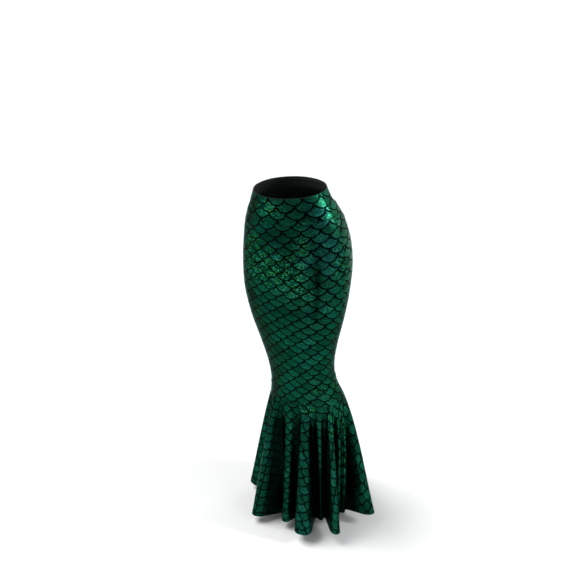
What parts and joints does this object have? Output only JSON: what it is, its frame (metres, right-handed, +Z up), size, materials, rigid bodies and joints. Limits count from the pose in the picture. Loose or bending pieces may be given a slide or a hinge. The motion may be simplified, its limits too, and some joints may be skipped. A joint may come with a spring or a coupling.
{
  "type": "mermaid skirt",
  "caption": "Long mermaid skirt in dark green foil stretch knit with a fish-scale print: high waistband, close-fitting hips and thighs, and a circular flounce from under the knees.",
  "frame": {"origin": "middle of the waist opening, where the wearer's waist holds the skirt up", "axes": "+Z up along the skirt from hem to waist, -Y the front, +X the wearer's left"},
  "size_m": [0.4191, 0.405, 1.0634],
  "materials": {
    "foil_knit": "metallic"
  },
  "bodies": {
    "root": {"waistband_front": "foil_knit", "waistband_back": "foil_knit", "skirt_front": "foil_knit", "skirt_back": "foil_knit", "flounce_front": "foil_knit", "flounce_back": "foil_knit"}
  },
  "joints": []
}
